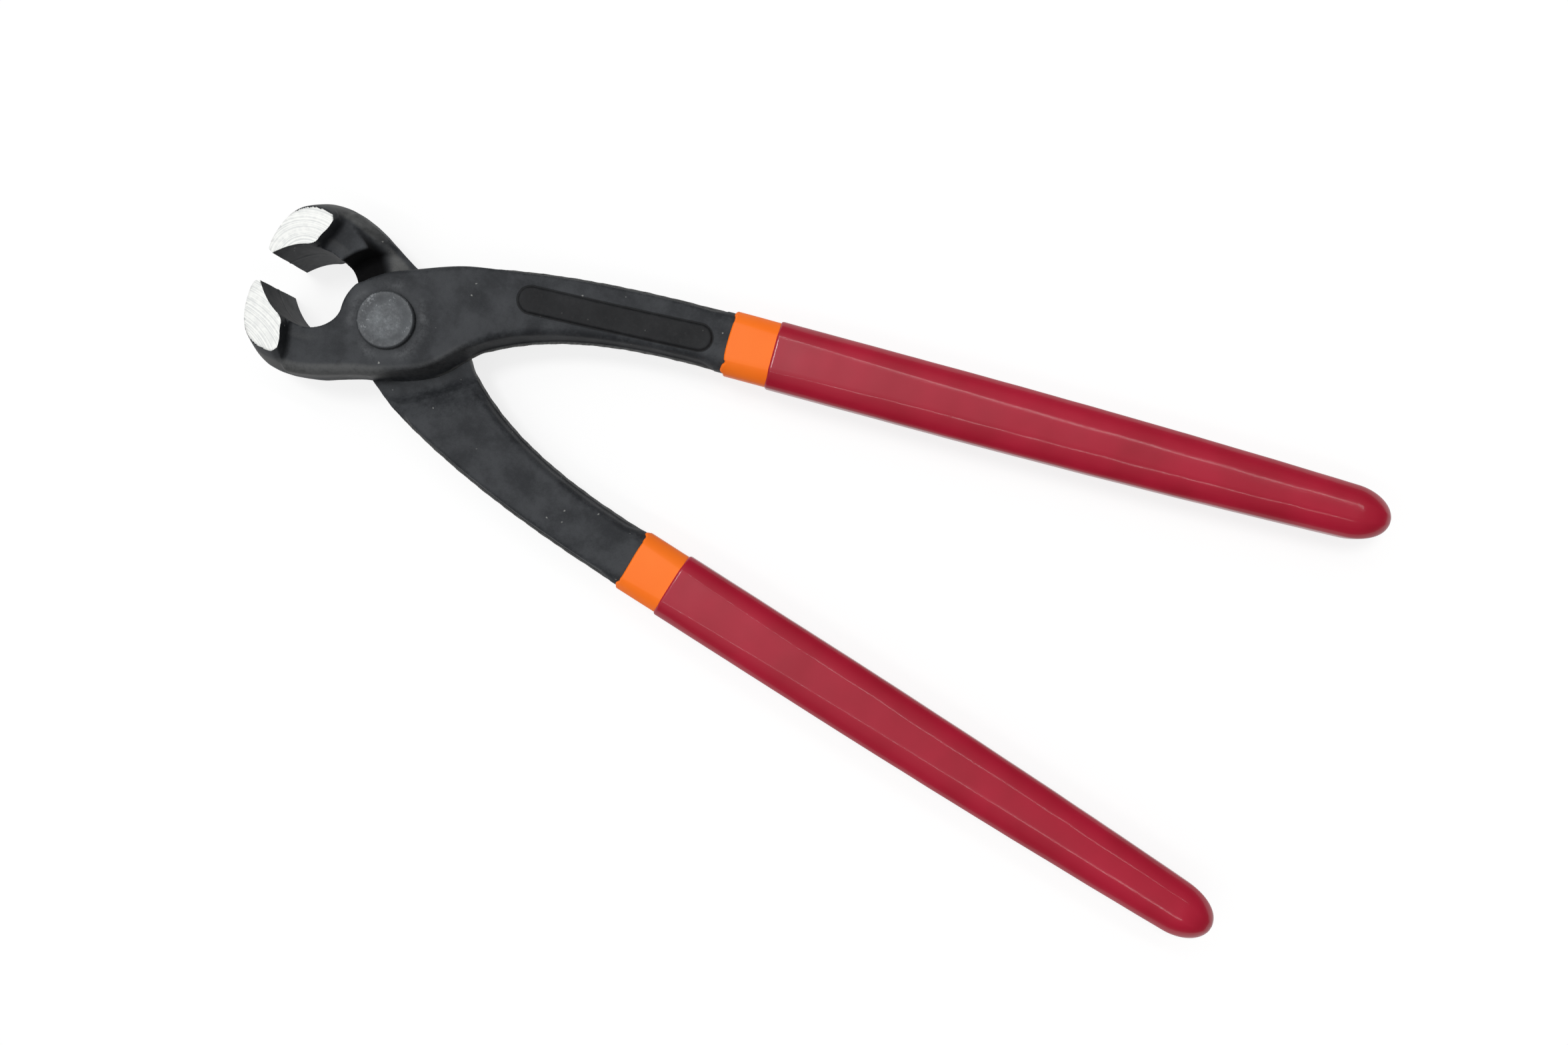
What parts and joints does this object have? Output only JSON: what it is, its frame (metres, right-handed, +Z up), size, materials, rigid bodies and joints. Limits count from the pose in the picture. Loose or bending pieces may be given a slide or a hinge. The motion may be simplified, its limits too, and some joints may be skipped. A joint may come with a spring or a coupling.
{
  "type": "long-handled end cutting pincers",
  "caption": "Long-handled end-cutting pincers: two blackened steel forgings riveted at a lap joint, ground jaw ends, handles dipped in orange and red plastic.",
  "frame": {"origin": "middle of the tool's box on the plane of the ground jaw ends that it lies on; the pivot axis is parallel to Z at x = -0.1068 m, y = 0", "axes": "+X from the jaws towards the handle tips along the middle line, +Y towards the upper handle, +Z up along the pivot axis"},
  "size_m": [0.278, 0.1208, 0.024],
  "materials": {
    "blackened_steel": "blackened forging with a satin oil finish, bright where the jaw ends are ground",
    "rivet_steel": "pressed rivet head, blackened and worn paler",
    "orange_plastic": "soft dipped vinyl, satin",
    "red_plastic": "soft dipped vinyl, glossy"
  },
  "bodies": {
    "lower_half": {"lower_handle_half": "blackened_steel", "pivot_rivet": "rivet_steel", "lower_orange_dip": "orange_plastic", "lower_red_dip": "red_plastic"},
    "upper_half": {"upper_handle_half": "blackened_steel", "upper_orange_dip": "orange_plastic", "upper_red_dip": "red_plastic"}
  },
  "joints": [
    {"name": "pivot", "type": "hinge", "parent": "lower_half", "child": "upper_half", "pos_m": [-0.1068, 0, 0.012], "axis": [0, 0, 1], "range_deg": [-13.3, 24]}
  ]
}
